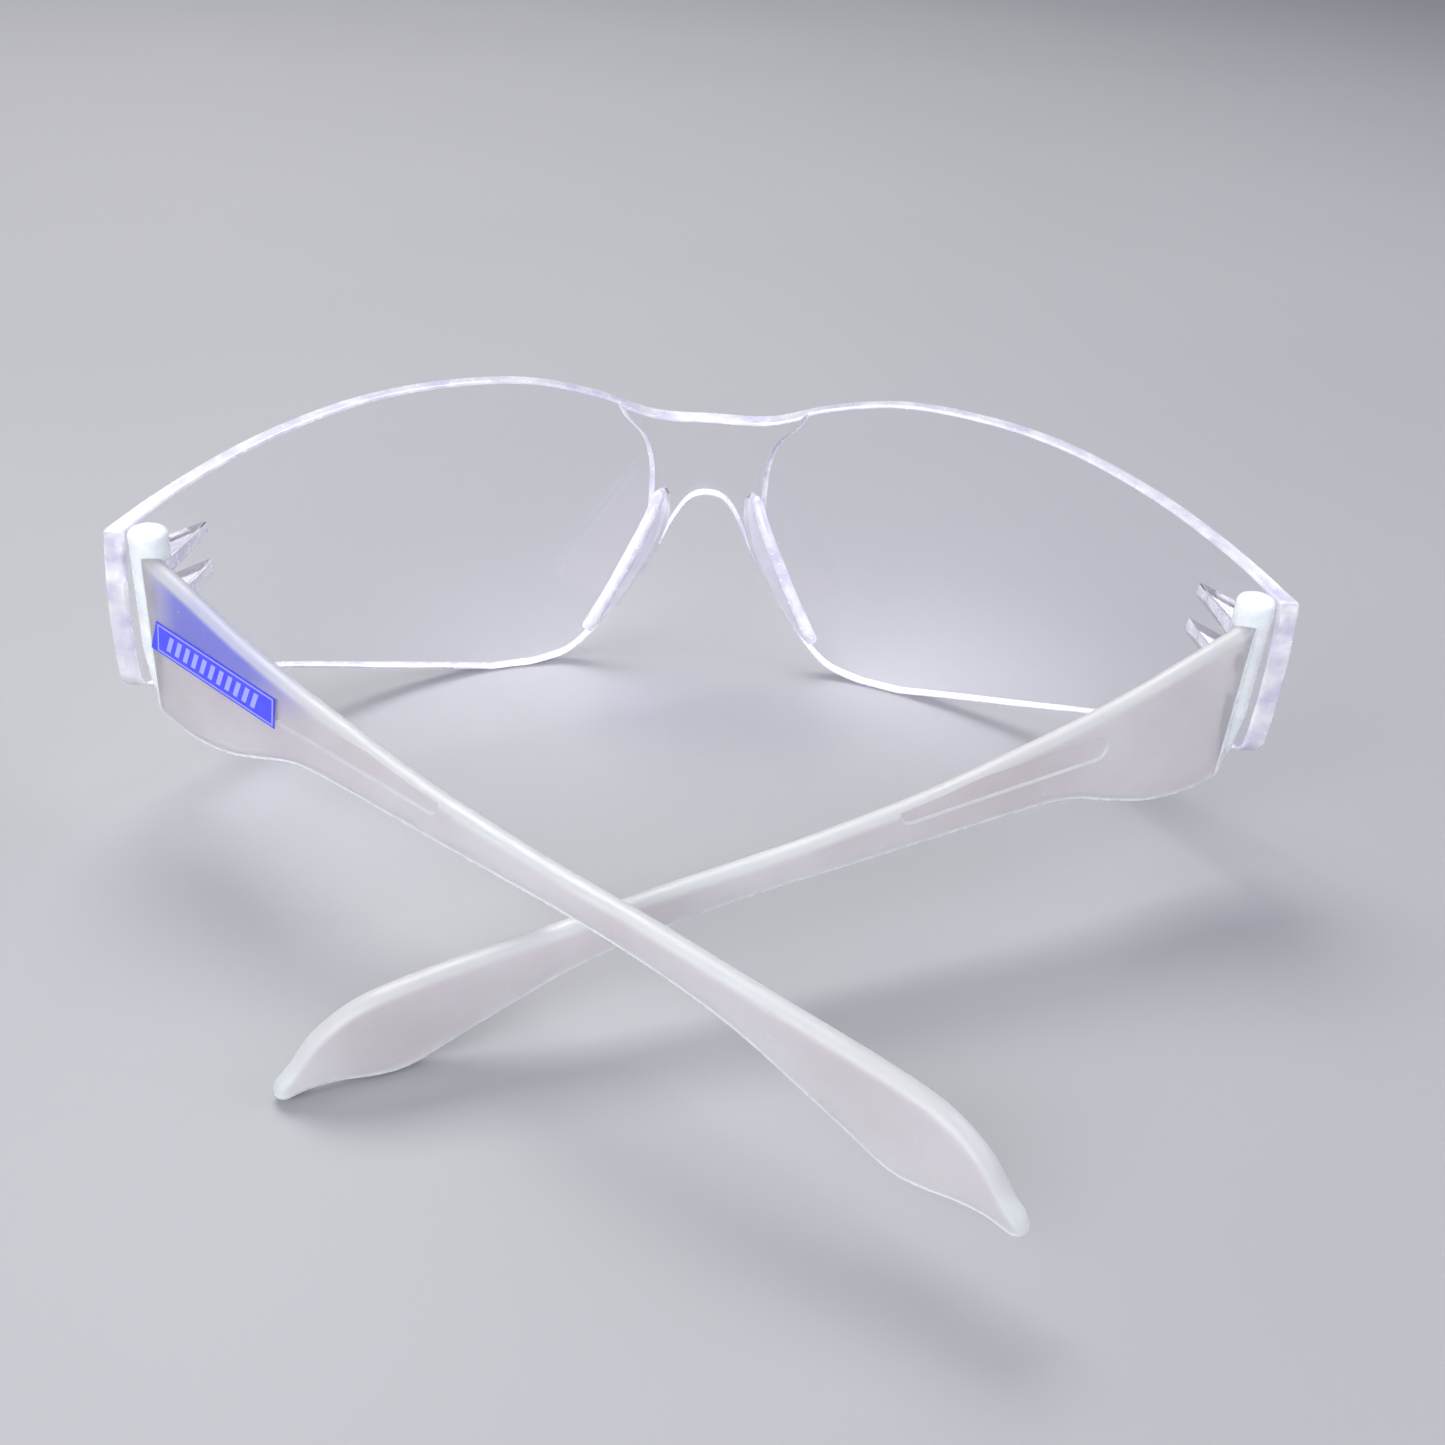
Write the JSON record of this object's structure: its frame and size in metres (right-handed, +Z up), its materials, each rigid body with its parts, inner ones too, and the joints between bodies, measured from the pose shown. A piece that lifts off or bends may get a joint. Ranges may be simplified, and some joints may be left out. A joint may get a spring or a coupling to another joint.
{
  "type": "wraparound safety glasses",
  "caption": "Frameless clear wraparound safety glasses with frosted folding arms, shown half folded with the arms crossed.",
  "frame": {"origin": "centre of the bounding box at its bottom face, on the table that the glasses lie on", "axes": "+X towards the wearer's right, +Y the way the wearer looks, +Z up"},
  "size_m": [0.14, 0.1164, 0.0433],
  "materials": {
    "clear_lens": "polished clear polycarbonate with faint violet edges",
    "frosted_arm": "milky translucent plastic, satin, brighter at its edges",
    "hinge_pin": "satin nylon",
    "blue_print": "satin printed ink"
  },
  "bodies": {
    "front": {"lens": "clear_lens"},
    "left_arm": {"left_temple": "frosted_arm", "left_hinge_pin": "hinge_pin", "left_print_band": "blue_print"},
    "right_arm": {"right_temple": "frosted_arm", "right_hinge_pin": "hinge_pin"}
  },
  "joints": [
    {"name": "left_fold", "type": "hinge", "parent": "front", "child": "left_arm", "pos_m": [-0.06367, 0.01514, 0.028], "axis": [0, 0, 1], "range_deg": [-53.5, 26.5]},
    {"name": "right_fold", "type": "hinge", "parent": "front", "child": "right_arm", "pos_m": [0.06367, 0.01514, 0.028], "axis": [0, 0, -1], "range_deg": [-64.6, 32]}
  ],
  "couplings": [
    {"joint": "right_fold", "follows": "left_fold", "ratio": 1.2056}
  ]
}
